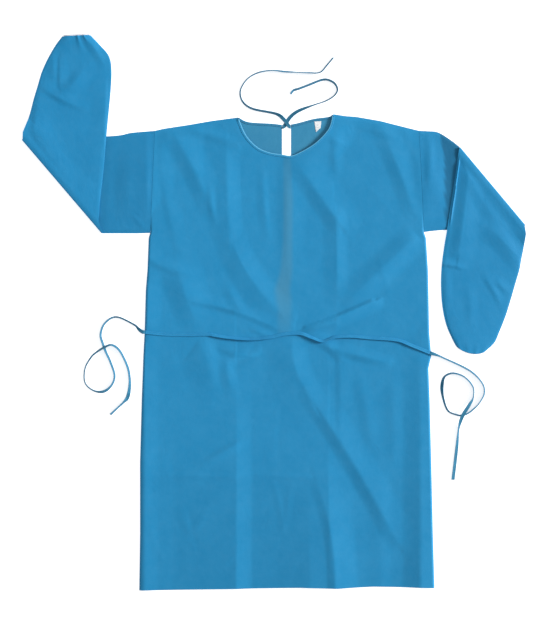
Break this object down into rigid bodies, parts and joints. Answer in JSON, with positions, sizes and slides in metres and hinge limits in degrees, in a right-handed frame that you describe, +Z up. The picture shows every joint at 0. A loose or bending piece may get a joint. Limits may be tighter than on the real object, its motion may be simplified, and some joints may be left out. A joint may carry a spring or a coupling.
{
  "type": "surgical gown laid flat",
  "caption": "Long-sleeved non-woven gown laid flat face up, with open back, neck ties, waist belt with free ties and elastic wrists.",
  "frame": {"origin": "middle of the laid gown without its free ties, on the surface that it rests on", "axes": "+Z up off the surface, +Y from the hem to the neck, +X to the wearer's left"},
  "size_m": [1.2277, 1.358, 0.0169],
  "materials": {
    "cloth_blue": "matte non-woven, fine bonded dots",
    "cloth_inside": "matte non-woven, inner side",
    "sleeve_blue": "matte non-woven, fine bonded dots",
    "trim_blue": "folded non-woven strip",
    "elastic_white": "narrow covered elastic",
    "label_white": "plain woven tag"
  },
  "bodies": {
    "root": {"front": "cloth_blue", "back_right": "cloth_inside", "back_left": "cloth_inside", "sleeve_right": "sleeve_blue", "sleeve_left": "sleeve_blue", "cuff_elastic_right": "elastic_white", "cuff_elastic_left": "elastic_white", "neck_binding_front": "trim_blue", "neck_binding_back_right": "trim_blue", "neck_binding_back_left": "trim_blue", "neck_tie_right": "trim_blue", "neck_tie_left": "trim_blue", "belt": "trim_blue", "waist_tie_right": "trim_blue", "waist_tie_left": "trim_blue", "label": "label_white"}
  },
  "joints": []
}
